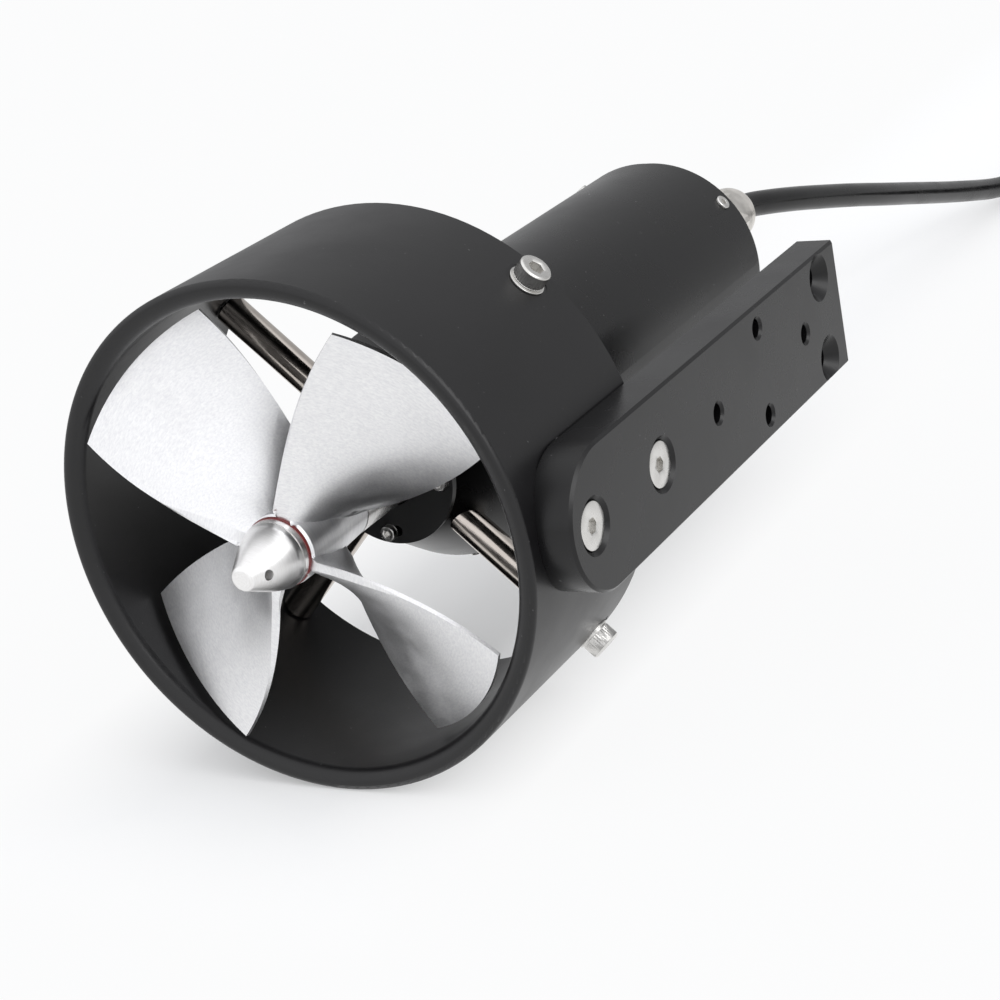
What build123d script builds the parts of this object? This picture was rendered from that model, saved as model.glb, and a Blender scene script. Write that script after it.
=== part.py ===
"""Ducted underwater thruster with a four-blade propeller and a side mounting arm.

Each piece is first built on the thruster's own axis: the propeller shaft runs along +Y,
Y = 0 is the duct's front face, the motor lies behind it at +Y and the mounting arm at +X.
Angles round the axis start at +X and turn towards +Z. The whole thruster is then moved so
that its bottom centre is the origin. All lengths are millimetres.
"""
from build123d import *
from math import atan, cos, pi, radians, sin, sqrt, tan
import os

# Duct
duct_diameter = 110.0
duct_wall = 4.3
duct_length = 52.0
lip_inner_round = 2.7
lip_outer_round = 1.3
duct_rear_chamfer = 0.6

# Propeller: a true screw of one pitch, with wide square tips
tip_clearance = 1.8
propeller_pitch = 105.0
blade_count = 4
blade_angle = 42.5
blade_middle = 6.5
blade_steps = 6
blade_root_half_span = 32.0
blade_tip_half_span = 20.0
blade_narrowing = 1.3
blade_root_thickness = 4.4
blade_tip_thickness = 1.3
blade_edge_share = 0.6
hub_diameter = 16.4
hub_rear_diameter = 15.0
hub_front = -2.4
hub_taper_start = 9.0
hub_rear = 20.0
hub_chamfer = 0.8

# Spinner nut and the thin ring behind it
ring_thickness = 0.6
ring_diameter = 14.8
spinner_tip = -19.0
spinner_base_diameter = 14.4
spinner_base_length = 1.4
spinner_groove = 0.4
spinner_tip_diameter = 5.0
spinner_tip_round = 1.2
tommy_hole_diameter = 2.2
tommy_hole_station = -14.5
tommy_hole_angle = -6.0

# Shaft
thread_diameter = 6.0
thread_length = 7.0
hub_seat_diameter = 9.0
hub_seat_setback = 0.4
journal_diameter = 14.0
seal_step_diameter = 12.0
core_seat_diameter = 10.0
rear_seat_diameter = 8.0
pin_diameter = 2.5
pin_station = 14.0
pin_length = 13.4
running_clearance = 0.05
shaft_step_gap = 2.0

# Struts and the screws that hold the duct on them
strut_angles = (45.0, 135.0, 225.0, 315.0)
strut_names = ("upper_right", "upper_left", "lower_left", "lower_right")
strut_diameter = 6.0
strut_station = 45.0
strut_root_radius = 14.5
strut_screw_thread = 4.0
strut_screw_depth = 8.0
strut_screw_head_diameter = 7.0
strut_screw_head_height = 4.0
strut_screw_key = 3.0
washer_diameter = 9.0
washer_thickness = 0.8
spot_face_diameter = 9.4
screw_end_gap = 0.5

# Motor housing
housing_diameter = 55.4
housing_wall = 2.7
housing_front = 58.0
housing_length = 120.0
nose_diameter = 32.6
nose_face = 40.0
seal_plate_thickness = 1.6
seal_plate_bore_gap = 0.6
plate_screw_count = 4
plate_screw_thread = 2.5
plate_screw_head = 4.5
plate_screw_head_height = 2.5
plate_screw_key = 2.0
plate_screw_circle = 26.8
plate_screw_length = 5.0
spigot_gap = 0.05
spigot_length = 10.0
oring_section = 2.0
oring_groove_width = 2.6
cap_screw_thread = 2.0
cap_screw_head = 3.8
cap_screw_pocket = 4.0
cap_screw_head_height = 1.3
cap_screw_sink = 0.6
cap_screw_key = 1.5
cap_screw_length = 7.0
cap_screw_count = 4
cap_screw_inset = 2.4
nose_screw_angle = 10.0
rear_screw_angle = 37.7

# Seal and bearings
seal_outer_diameter = 22.0
seal_length = 5.0
seal_gap = 0.08
seal_wall = 1.5
bearing_setback = 6.0
front_bearing_outer = 24.0
front_bearing_width = 6.0
rear_bearing_outer = 22.0
rear_bearing_width = 7.0
race_thickness = 2.0
race_groove_depth = 0.4
ball_count = 9

# Motor inside the housing
stator_setback = 26.0
stator_rear_room = 48.0
stator_bore_share = 0.6
stator_yoke = 3.0
slot_count = 12
tooth_width = 3.4
tooth_tip = 1.2
slot_liner = 0.3
winding_overhang = 6.0
air_gap = 0.8
magnet_thickness = 2.5
magnet_count = 10
magnet_gap = 0.8
magnet_setback = 1.0
rear_plate_setback = 32.0
rear_plate_thickness = 9.0
wire_count = 3
wire_diameter = 1.6
wire_gather_circle = 3.2
wire_bend_gap = 3.0
wire_bend_inset = 6.0
wire_bend_radius = 5.0

# Rear cap and cable gland
rear_cap_diameter = 53.6
rear_cap_rim = 4.2
rear_cap_chamfer = 0.8
rear_boss_diameter = 22.0
rear_boss_length = 22.0
rear_boss_chamfer = 1.5
rear_recess_diameter = 36.0
rear_recess_depth = 4.0
rear_recess_taper = 9.0
gland_thread_diameter = 12.0
gland_thread_length = 10.0
gland_wall = 2.0
gland_hex = 17.0
gland_hex_length = 6.0
hex_corner_cut = 0.7
gland_neck_diameter = 14.0
gland_neck_length = 14.0
gland_grommet_length = 10.0
gland_nut_hex = 17.0
gland_nut_hex_length = 12.0
gland_nut_gap = 0.5
gland_collar_diameter = 16.6
gland_collar_length = 7.3
gland_dome_length = 10.0
gland_mouth_diameter = 8.4
gland_mouth_flare = 6.7
gland_cable_gap = 0.3

# Mounting arm
arm_width = 30.0
arm_thickness = 9.5
arm_stand = 7.5
arm_front = 3.8
arm_rear = 145.4
arm_edge_chamfer = 0.6
arm_saddle_relief = 0.5
arm_screw_thread = 5.0
arm_screw_head = 9.6
arm_screw_sink = 1.1
arm_screw_key = 3.0
arm_screw_first = 13.2
arm_screw_pitch = 30.8
arm_screw_wall_gap = 0.4
tapped_hole_diameter = 4.2
tapped_hole_mouth = 5.4
hole_group_station = 97.5
long_pair_spacing = 50.0
cross_pair_spacing = 20.0
end_hole_diameter = 5.5
end_hole_mouth = 11.0
end_pair_station = 134.4
end_pair_spacing = 19.5
end_pair_offset = -0.4

# Cable, its coil and the connector: sideways and back from the gland's mouth, then the
# height above the standing surface
cable_diameter = 5.0
arc_share = 0.45
cable_inside = 20.0
cable_route = [
    (0.0, 38.0, 44.5),
    (0.4, 92.0, 30.0),
    (1.2, 142.0, 16.0),
    (4.0, 177.0, 5.3),
    (14.0, 201.0, 2.7),
    (28.0, 219.0, 2.55),
    (37.25, 225.8, 2.5),
]
coil_centre = (65.75, 206.5)
coil_middle_diameter = 55.0
coil_turns_across = 3
coil_layers = 2
tail_route = [
    (99.75, 192.5, 7.4),
    (101.05, 179.5, 7.2),
    (103.05, 166.7, 7.0),
]
plug_diameter = 14.0
plug_length = 30.0
plug_shoulder = 1.0
plug_tail_length = 12.0
plug_tail_diameter = 8.0
plug_ring_diameter = 17.0
plug_ring_length = 12.0
plug_ring_chamfer = 0.8
plug_pin_count = 3
plug_pin_diameter = 2.0
plug_pin_circle = 6.0
plug_pin_length = 7.0

# How far a cutter runs past the material it cuts
cut_margin = 1.0

# Sizes that follow from the ones above
duct_radius = duct_diameter / 2
duct_bore = duct_radius - duct_wall
housing_radius = housing_diameter / 2
housing_bore = housing_radius - housing_wall
housing_rear = housing_front + housing_length
tip_radius = duct_bore - tip_clearance
nose_radius = nose_diameter / 2
plate_face = nose_face - seal_plate_thickness
journal_radius = journal_diameter / 2
seal_step_radius = seal_step_diameter / 2
spigot_radius = housing_bore - spigot_gap
seal_front = nose_face
seal_rear = seal_front + seal_length
front_bearing_front = seal_rear + bearing_setback
front_bearing_rear = front_bearing_front + front_bearing_width
stator_front = housing_front + stator_setback
stator_length = housing_length - stator_setback - stator_rear_room
stator_rear = stator_front + stator_length
stator_bore = 2 * housing_bore * stator_bore_share
winding_outer = spigot_radius - stator_yoke - slot_liner
winding_inner = stator_bore / 2 + tooth_tip
rear_plate_front = housing_rear - rear_plate_setback
rear_plate_rear = rear_plate_front + rear_plate_thickness
rear_cap_face = housing_rear + rear_cap_rim
boss_end = rear_cap_face + rear_boss_length
nut_front = boss_end + gland_hex_length + gland_nut_gap
nut_hex_end = nut_front + gland_nut_hex_length
gland_end = nut_hex_end + gland_collar_length + gland_dome_length
arm_outer = duct_radius + arm_stand
arm_inner = arm_outer - arm_thickness
arm_nose_centre = arm_front + arm_width / 2


def turned(points):
    """Solid of revolution round the thruster axis from (radius, station) points."""
    return revolve(make_face(Polyline(*points, close=True)), Axis.Y)


def tube(outer, inner, start, end):
    """Plain sleeve round the thruster axis."""
    return turned([(inner, start), (outer, start), (outer, end), (inner, end)])


def rod(radius, start, end):
    """Plain round bar on the thruster axis."""
    return turned([(0, start), (radius, start), (radius, end), (0, end)])


def spoke(angle, station):
    """Frame whose Z axis points straight out from the thruster axis at an angle."""
    out = (cos(radians(angle)), 0, sin(radians(angle)))
    return Plane(origin=(0, station, 0), x_dir=(0, 1, 0), z_dir=out)


def radial_bar(angle, station, radius, start, end):
    """Round bar pointing out from the axis, from one radius to another."""
    bar = Cylinder(radius, end - start, align=(Align.CENTER, Align.CENTER, Align.MIN))
    return spoke(angle, station) * Pos(0, 0, start) * bar


def around(count, turn, circle):
    """Places on a circle round the thruster axis, as (x, z) pairs."""
    angles = [radians(turn + 360 * i / count) for i in range(count)]
    return [(circle * cos(a), circle * sin(a)) for a in angles]


def axial_bar(x, z, radius, start, end):
    """Round bar parallel to the thruster axis."""
    profile = Plane(origin=(x, start, z), x_dir=(1, 0, 0), z_dir=(0, 1, 0)) * Circle(radius)
    return extrude(profile, end - start)


def socket_screw(thread, length, head, height, key, socket_depth):
    """Cap screw along Z: the head stands on Z = 0 and the thread hangs below it."""
    body = Cylinder(head / 2, height, align=(Align.CENTER, Align.CENTER, Align.MIN))
    body = chamfer(body.edges().sort_by(Axis.Z)[-1], 0.08 * head)
    body += Cylinder(thread / 2, length, align=(Align.CENTER, Align.CENTER, Align.MAX))
    socket = extrude(RegularPolygon(key / 2, 6, major_radius=False), socket_depth)
    return body - Pos(0, 0, height - socket_depth) * socket


def make_duct():
    """Turned ring with a rounded front lip, drilled for the struts and the arm."""
    inner_centre = (duct_bore + lip_inner_round, lip_inner_round)
    outer_centre = (duct_radius - lip_outer_round, lip_outer_round)
    inner_round = CenterArc(inner_centre, lip_inner_round, 180, 90)
    outer_round = CenterArc(outer_centre, lip_outer_round, 270, 90)
    rest = Polyline(
        outer_round @ 1,
        (duct_radius, duct_length - duct_rear_chamfer),
        (duct_radius - duct_rear_chamfer, duct_length),
        (duct_bore + duct_rear_chamfer, duct_length),
        (duct_bore, duct_length - duct_rear_chamfer),
        inner_round @ 0,
    )
    section = make_face([inner_round, Line(inner_round @ 1, outer_round @ 0), outer_round, rest])
    ring = revolve(section, Axis.Y)
    inside, outside = duct_bore - cut_margin, duct_radius + cut_margin
    for angle in strut_angles:
        ring -= radial_bar(angle, strut_station, strut_screw_thread / 2, inside, outside)
        ring -= radial_bar(angle, strut_station, spot_face_diameter / 2, seat_radius, outside)
    for station in arm_screw_stations:
        ring -= radial_bar(0, station, arm_screw_thread / 2, inside, outside)
    return ring


def make_strut(angle):
    """Polished round strut from the nose of the motor housing out to the duct's bore."""
    reach = sqrt(duct_bore**2 - (strut_diameter / 2) ** 2)
    strut = radial_bar(angle, strut_station, strut_diameter / 2, strut_root_radius, reach)
    root = duct_bore - strut_screw_depth
    return strut - radial_bar(angle, strut_station, strut_screw_thread / 2, root, duct_radius)


def make_strut_screw(angle):
    """Cap screw that pulls the duct against the end of a strut."""
    length = seat_radius + washer_thickness - duct_bore + strut_screw_depth - screw_end_gap
    screw = socket_screw(
        strut_screw_thread, length, strut_screw_head_diameter,
        strut_screw_head_height, strut_screw_key, strut_screw_head_height / 2,
    )
    return spoke(angle, strut_station) * Pos(0, 0, seat_radius + washer_thickness) * screw


def make_strut_washer(angle):
    """Thin flat washer on the spot face under each cap screw."""
    disc = radial_bar(angle, strut_station, washer_diameter / 2, seat_radius, seat_radius + washer_thickness)
    return disc - radial_bar(angle, strut_station, strut_screw_thread / 2, duct_bore, arm_outer)


def make_arm():
    """Flat bar with a round front end, hollowed underneath to sit on the duct."""
    middle = (arm_nose_centre + arm_rear) / 2
    outline = Pos(middle, 0) * Rectangle(arm_rear - arm_nose_centre, arm_width)
    outline += Pos(arm_nose_centre, 0) * Circle(arm_width / 2)
    face = Plane(origin=(arm_inner, 0, 0), x_dir=(0, 1, 0), z_dir=(1, 0, 0))
    bar = extrude(face * outline, arm_thickness)
    for side in (0, -1):
        bar = chamfer(bar.faces().sort_by(Axis.X)[side].edges(), arm_edge_chamfer)
    bar -= rod(duct_radius, -duct_length, duct_length + arm_saddle_relief)
    for station in arm_screw_stations:
        bar -= countersink(station, 0, arm_screw_thread, arm_screw_mouth)
    for shift in (-long_pair_spacing / 2, long_pair_spacing / 2):
        bar -= countersink(hole_group_station + shift, 0, tapped_hole_diameter, tapped_hole_mouth)
    for shift in (-cross_pair_spacing / 2, cross_pair_spacing / 2):
        bar -= countersink(hole_group_station, shift, tapped_hole_diameter, tapped_hole_mouth)
    for shift in (-end_pair_spacing / 2, end_pair_spacing / 2):
        bar -= countersink(end_pair_station, end_pair_offset + shift, end_hole_diameter, end_hole_mouth)
    return bar


def countersink(station, height, hole, mouth):
    """Cutter for a hole through the arm with a ninety-degree countersink outside."""
    depth = (mouth - hole) / 2
    place = Plane(origin=(arm_outer, station, height), x_dir=(0, 1, 0), z_dir=(1, 0, 0))
    cone = Cone(hole / 2, mouth / 2, depth, align=(Align.CENTER, Align.CENTER, Align.MAX))
    above = Cylinder(mouth / 2, cut_margin, align=(Align.CENTER, Align.CENTER, Align.MIN))
    drill = Cylinder(hole / 2, 2 * arm_thickness, align=(Align.CENTER, Align.CENTER, Align.MAX))
    return place * (cone + above + drill)


def make_arm_screw(station):
    """Countersunk hex screw through the arm into the duct wall."""
    cone_height = (arm_screw_head - arm_screw_thread) / 2
    end = duct_bore + arm_screw_wall_gap
    top = arm_outer - arm_screw_sink
    head = Cone(
        arm_screw_thread / 2, arm_screw_head / 2, cone_height,
        align=(Align.CENTER, Align.CENTER, Align.MAX),
    )
    shank = Cylinder(arm_screw_thread / 2, top - end, align=(Align.CENTER, Align.CENTER, Align.MAX))
    socket = extrude(RegularPolygon(arm_screw_key / 2, 6, major_radius=False), -cone_height)
    place = Plane(origin=(top, station, 0), x_dir=(0, 1, 0), z_dir=(1, 0, 0))
    return place * (head + shank - socket)


def blade_share(distance):
    """How far out along the blade a distance lies: 0 at the hub, 1 at the tip."""
    return max(0, (distance - hub_diameter / 2) / (tip_radius - hub_diameter / 2))


def blade_half_width(distance):
    """Half the blade's width: it spans less and less of the circle towards the tip."""
    narrowing = (blade_root_half_span - blade_tip_half_span) * blade_share(distance) ** blade_narrowing
    return distance * tan(radians(blade_root_half_span - narrowing))


def blade_thickness(distance):
    """Thickness at the middle of the blade: flared at the hub, thin at the tip."""
    flare = (blade_root_thickness - blade_tip_thickness) * max(0, 1 - blade_share(distance)) ** 2
    return blade_tip_thickness + flare


def blade_section(distance):
    """Cross-section of a blade that points along +X: a thin lens on the screw line."""
    half = blade_half_width(distance)
    thick = blade_thickness(distance) / 2
    front, rear = [], []
    for step in (-1.0, -0.5, 0.0, 0.5, 1.0):
        across = step * half
        along = blade_middle - propeller_pitch / (2 * pi) * atan(across / distance)
        slope = -propeller_pitch / (2 * pi) * distance / (distance**2 + across**2)
        swell = thick * (1 - (1 - blade_edge_share) * step**2)
        lean = sqrt(1 + slope**2)
        front.append((distance, along - swell / lean, across + swell * slope / lean))
        rear.append((distance, along + swell / lean, across - swell * slope / lean))
    edges = [Spline(*front), Line(front[-1], rear[-1]), Spline(*reversed(rear)), Line(rear[0], front[0])]
    return make_face(edges)


def make_propeller():
    """Four screw blades with square tips on a short hub."""
    outer_end = tip_radius + cut_margin
    inner_end = hub_seat_diameter / 2
    steps = [i / blade_steps for i in range(blade_steps + 1)]
    stations = [outer_end + (inner_end - outer_end) * step for step in steps]
    blade = loft([blade_section(distance) for distance in stations])
    blade = blade & rod(tip_radius, hub_front, hub_rear)
    hub = turned([
        (0, hub_front), (hub_diameter / 2 - hub_chamfer, hub_front),
        (hub_diameter / 2, hub_front + hub_chamfer), (hub_diameter / 2, hub_taper_start),
        (hub_rear_diameter / 2, hub_rear - hub_chamfer / 2),
        (hub_rear_diameter / 2 - hub_chamfer / 2, hub_rear), (0, hub_rear),
    ])
    for i in range(blade_count):
        hub += Rot(0, -(blade_angle + 360 * i / blade_count), 0) * blade
    hub -= rod(hub_seat_diameter / 2, hub_front - cut_margin, hub_rear + cut_margin)
    return hub - pin_hole()


def pin_hole():
    """Cross hole through the hub and the shaft that takes the drive pin."""
    return radial_bar(0, pin_station, pin_diameter / 2, -pin_length / 2, pin_length / 2)


def make_ring():
    """Thin coloured ring clamped between the spinner nut and the hub."""
    return tube(ring_diameter / 2, thread_diameter / 2, hub_front - ring_thickness, hub_front)


def make_spinner():
    """Tapered nut with a groove near its base and a hole for a tommy bar."""
    base = hub_front - ring_thickness
    radius = spinner_base_diameter / 2
    nut = turned([
        (0, base), (radius, base), (radius, base - spinner_base_length),
        (radius - spinner_groove, base - spinner_base_length),
        (radius - spinner_groove, base - spinner_base_length - spinner_groove),
        (radius, base - spinner_base_length - spinner_groove),
        (spinner_tip_diameter / 2, spinner_tip), (0, spinner_tip),
    ])
    nut = fillet(nut.edges().sort_by(Axis.Y)[0], spinner_tip_round)
    nut -= rod(thread_diameter / 2, base - thread_length - screw_end_gap, base + cut_margin)
    return nut - radial_bar(tommy_hole_angle, tommy_hole_station, tommy_hole_diameter / 2, -radius, radius)


def make_shaft():
    """Stepped stainless shaft that carries the propeller, the bearings and the rotor."""
    shaft = turned([
        (0, hub_front - ring_thickness - thread_length),
        (thread_diameter / 2, hub_front - ring_thickness - thread_length),
        (thread_diameter / 2, hub_front + hub_seat_setback),
        (hub_seat_diameter / 2, hub_front + hub_seat_setback),
        (hub_seat_diameter / 2, hub_rear), (journal_radius, hub_rear),
        (journal_radius, seal_rear), (seal_step_radius, seal_rear),
        (seal_step_radius, core_seat_start), (core_seat_diameter / 2, core_seat_start),
        (core_seat_diameter / 2, core_seat_end), (rear_seat_diameter / 2, core_seat_end),
        (rear_seat_diameter / 2, rear_plate_rear), (0, rear_plate_rear),
    ])
    return shaft - pin_hole()


def make_drive_pin():
    """Pin through the shaft that turns the hub."""
    return pin_hole()


def make_nose_cap():
    """Conical front cap: it holds the struts, the seal and the front bearing."""
    shoulder = front_bearing_outer / 2 - race_thickness
    cap = turned([
        (0, nose_face), (nose_radius, nose_face), (housing_radius, housing_front),
        (spigot_radius, housing_front), (spigot_radius, housing_front + spigot_length),
        (0, housing_front + spigot_length),
    ])
    cap -= rod(seal_outer_diameter / 2, plate_face, seal_rear)
    cap -= rod(shoulder, plate_face, front_bearing_front)
    cap -= rod(front_bearing_outer / 2, front_bearing_front, stator_front)
    cap -= oring_groove(front_oring_station)
    for angle in strut_angles:
        cap -= radial_bar(angle, strut_station, strut_diameter / 2, strut_root_radius, duct_radius)
    for x, z in around(plate_screw_count, 0, plate_screw_circle / 2):
        cap -= axial_bar(x, z, plate_screw_thread / 2, plate_face, nose_face + plate_screw_length)
    return cap - cap_screw_holes(front_screw_station, nose_screw_angle)


def oring_groove(station):
    """Cutter for the groove that holds an O-ring on a spigot."""
    floor = housing_bore - oring_section
    half = oring_groove_width / 2
    return tube(housing_radius, floor, station - half, station + half)


def make_oring(station):
    """Sealing ring in its groove, a hair's breadth from the housing's bore."""
    section = Pos(housing_bore - oring_section / 2, station) * Circle(oring_section / 2 - running_clearance)
    return revolve(section, Axis.Y)


def cap_screw_angles(turn):
    """Directions of the radial screws at one end of the housing."""
    return [turn + 360 * i / cap_screw_count for i in range(cap_screw_count)]


def cap_screw_holes(station, turn):
    """Cutters for the radial screws that hold the housing on a cap."""
    root = cap_screw_seat - cap_screw_length
    angles = cap_screw_angles(turn)
    return [radial_bar(angle, station, cap_screw_thread / 2, root, duct_radius) for angle in angles]


def make_cap_screws(station, turn):
    """Low-headed radial screws at one end of the housing."""
    screws = []
    for angle in cap_screw_angles(turn):
        screw = socket_screw(
            cap_screw_thread, cap_screw_length, cap_screw_head,
            cap_screw_head_height, cap_screw_key, cap_screw_head_height,
        )
        screws.append(spoke(angle, station) * Pos(0, 0, cap_screw_seat) * screw)
    return Compound(screws)


def make_seal_plate():
    """Thin black plate that keeps the shaft seal in the nose cap."""
    plate = tube(nose_radius, journal_radius + seal_plate_bore_gap, plate_face, nose_face)
    for x, z in around(plate_screw_count, 0, plate_screw_circle / 2):
        plate -= axial_bar(x, z, plate_screw_thread / 2, hub_rear, nose_face + cut_margin)
    return plate


def make_plate_screws():
    """Four small cap screws round the rim of the seal plate."""
    screws = []
    for x, z in around(plate_screw_count, 0, plate_screw_circle / 2):
        place = Plane(origin=(x, plate_face, z), x_dir=(1, 0, 0), z_dir=(0, -1, 0))
        screw = socket_screw(
            plate_screw_thread, seal_plate_thickness + plate_screw_length, plate_screw_head,
            plate_screw_head_height, plate_screw_key, plate_screw_head_height / 2,
        )
        screws.append(place * screw)
    return Compound(screws)


def make_shaft_seal():
    """Radial lip seal: a U-shaped ring whose lip runs on the shaft's journal."""
    outer = seal_outer_diameter / 2
    lip = journal_radius + seal_gap
    floor = seal_front + seal_wall
    return turned([
        (lip, seal_front), (outer, seal_front), (outer, seal_rear), (outer - seal_wall, seal_rear),
        (outer - seal_wall, floor), (lip + seal_wall / 2, floor),
        (lip + seal_wall / 2, seal_rear - seal_wall / 2), (lip, seal_rear - seal_wall / 2),
    ])


def make_race(outer, inner, front, width, groove_circle, ball):
    """Bearing ring with a running groove for its balls."""
    ring = tube(outer, inner, front, front + width)
    groove = revolve(Pos(groove_circle, front + width / 2) * Circle(ball / 2 + running_clearance), Axis.Y)
    return ring - groove


def make_balls(circle, ball, station):
    """Balls of one bearing, spaced evenly."""
    return Compound([Pos(x, station, z) * Sphere(ball / 2) for x, z in around(ball_count, 0, circle)])


def bearing(outer, inner, front, width):
    """Outer ring, inner ring and balls of one bearing between two radii."""
    circle = (outer + inner) / 2
    ball = outer - inner - 2 * (race_thickness - race_groove_depth)
    outer_ring = make_race(outer, outer - race_thickness, front, width, circle, ball)
    inner_ring = make_race(inner + race_thickness, inner, front, width, circle, ball)
    return outer_ring, inner_ring, make_balls(circle, ball, front + width / 2)


def make_housing():
    """Black tube round the motor."""
    sleeve = tube(housing_radius, housing_bore, housing_front, housing_rear)
    for station, turn in ((front_screw_station, nose_screw_angle), (rear_screw_station, rear_screw_angle)):
        sleeve -= cap_screw_holes(station, turn)
        for angle in cap_screw_angles(turn):
            sleeve -= radial_bar(angle, station, cap_screw_pocket / 2, cap_screw_seat, duct_radius)
    return sleeve


def slot_blocks(inner, outer, length, width):
    """Radial blocks, one for each stator tooth, spaced evenly round the axis."""
    block = Pos((inner + outer) / 2, (stator_front + stator_rear) / 2, 0) * Box(outer - inner, length, width)
    return [Rot(0, 360 * i / slot_count, 0) * block for i in range(slot_count)]


def make_stator():
    """Laminated ring with inward teeth, pressed into the housing."""
    core = tube(spigot_radius, spigot_radius - stator_yoke, stator_front, stator_rear)
    core += slot_blocks(stator_bore / 2 - cut_margin, spigot_radius - cut_margin, stator_length, tooth_width)
    return core - rod(stator_bore / 2, housing_front, housing_rear)


def make_windings():
    """Copper in the slots, with the end turns in front of and behind the core."""
    front = stator_front - winding_overhang
    winding = tube(winding_outer, winding_inner, front, stator_rear + winding_overhang)
    length = stator_length + 2 * slot_liner
    width = tooth_width + 2 * slot_liner
    return winding - slot_blocks(winding_inner - cut_margin, winding_outer + cut_margin, length, width)


def make_rotor_core():
    """Steel ring on the shaft under the magnets."""
    return tube(magnet_seat, core_seat_diameter / 2, stator_front, stator_rear)


def make_magnets():
    """Curved magnets round the rotor, each a little apart from the next."""
    outer = stator_bore / 2 - air_gap
    ring = tube(outer, magnet_seat, stator_front + magnet_setback, stator_rear - magnet_setback)
    gap = Pos(outer, (stator_front + stator_rear) / 2, 0) * Box(2 * outer, stator_length, magnet_gap)
    return ring - [Rot(0, 360 * i / magnet_count, 0) * gap for i in range(magnet_count)]


def make_rear_plate():
    """Plate behind the stator that holds the rear bearing."""
    plate = tube(spigot_radius, rear_bearing_outer / 2, rear_plate_front, rear_plate_rear)
    shoulder = rear_bearing_outer / 2 - race_thickness
    plate += tube(rear_bearing_outer / 2, shoulder, rear_bearing_rear, rear_plate_rear)
    for x, z in wire_places:
        plate -= axial_bar(x, z, wire_diameter, stator_rear, housing_rear)
    return plate


def make_lead_wires():
    """Three motor leads that run from the windings back to the end of the cable."""
    start = stator_rear + winding_overhang
    wires = []
    for (x, z), (near_x, near_z) in zip(wire_places, wire_gather_places):
        path = FilletPolyline(
            (x, start, z), (x, wire_bend_start, z), (near_x, wire_bend_end, near_z),
            (near_x, wire_end, near_z), radius=wire_bend_radius,
        )
        section = Plane(origin=path @ 0, z_dir=path % 0) * Circle(wire_diameter / 2)
        wires.append(sweep(section, path=path))
    return Compound(wires)


def make_rear_cap():
    """Rear cap with its spigot, a short boss and the tapped hole for the gland."""
    front = housing_rear - spigot_length
    radius = rear_cap_diameter / 2
    boss = rear_boss_diameter / 2
    cap = turned([
        (0, front), (spigot_radius, front), (spigot_radius, housing_rear), (radius, housing_rear),
        (radius, rear_cap_face - rear_cap_chamfer), (radius - rear_cap_chamfer, rear_cap_face),
        (boss, rear_cap_face), (boss, boss_end - rear_boss_chamfer),
        (boss - rear_boss_chamfer, boss_end), (0, boss_end),
    ])
    recess = rear_recess_diameter / 2
    cap -= rod(gland_thread_diameter / 2, boss_end - gland_thread_length, gland_end)
    cap -= turned([
        (0, rear_plate_rear), (recess, rear_plate_rear), (recess, front + rear_recess_depth),
        (gland_bore, front + rear_recess_depth + rear_recess_taper), (gland_bore, boss_end), (0, boss_end),
    ])
    return cap - oring_groove(rear_oring_station) - cap_screw_holes(rear_screw_station, rear_screw_angle)


def hex_bar(across, start, end):
    """Hexagonal bar on the thruster axis with lightly turned corners."""
    profile = Plane(origin=(0, start, 0), x_dir=(1, 0, 0), z_dir=(0, 1, 0))
    bar = extrude(profile * RegularPolygon(across / 2, 6, major_radius=False), end - start)
    corner = across / sqrt(3)
    return bar & turned([
        (0, start), (corner - hex_corner_cut, start), (corner, start + hex_corner_cut),
        (corner, end - hex_corner_cut), (corner - hex_corner_cut, end), (0, end),
    ])


def make_gland_body():
    """Threaded gland body with its hexagon, seated on the rear boss."""
    body = rod(gland_thread_diameter / 2, boss_end - gland_thread_length, boss_end)
    body += hex_bar(gland_hex, boss_end, boss_end + gland_hex_length)
    body += rod(gland_neck_diameter / 2, boss_end + gland_hex_length, neck_end)
    body -= rod(gland_bore, housing_rear, gland_end)
    return body - rod(grommet_radius, grommet_front, gland_end)


def make_gland_grommet():
    """Rubber sleeve that the gland nut squeezes onto the cable."""
    return tube(grommet_radius, cable_diameter / 2, grommet_front, neck_end)


def make_gland_nut():
    """Hexagonal nut that narrows in a long dome to a flared mouth for the cable."""
    dome_start = gland_end - gland_dome_length
    shoulder = gland_collar_diameter / 2
    mouth = gland_mouth_diameter / 2
    side = Polyline((0, nut_hex_end), (shoulder, nut_hex_end), (shoulder, dome_start))
    crown = Spline(side @ 1, (mouth, gland_end), tangents=((0, 1), (-0.3, 1)))
    end = Polyline(crown @ 1, (0, gland_end), side @ 0)
    nut = hex_bar(gland_nut_hex, nut_front, nut_hex_end) + revolve(make_face([side, crown, end]), Axis.Y)
    throat = cable_diameter / 2 + gland_cable_gap
    nut -= rod(gland_neck_diameter / 2, boss_end, neck_end)
    return nut - turned([
        (0, boss_end), (throat, boss_end), (throat, dome_start), (gland_mouth_flare / 2, gland_end),
        (gland_mouth_flare / 2, gland_end + cut_margin), (0, gland_end + cut_margin),
    ])


def from_gland(points):
    """Points given from the gland's mouth, moved to the part's own frame."""
    return [(x - middle_x, y + gland_end - middle_y, z) for x, y, z in points]


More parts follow.
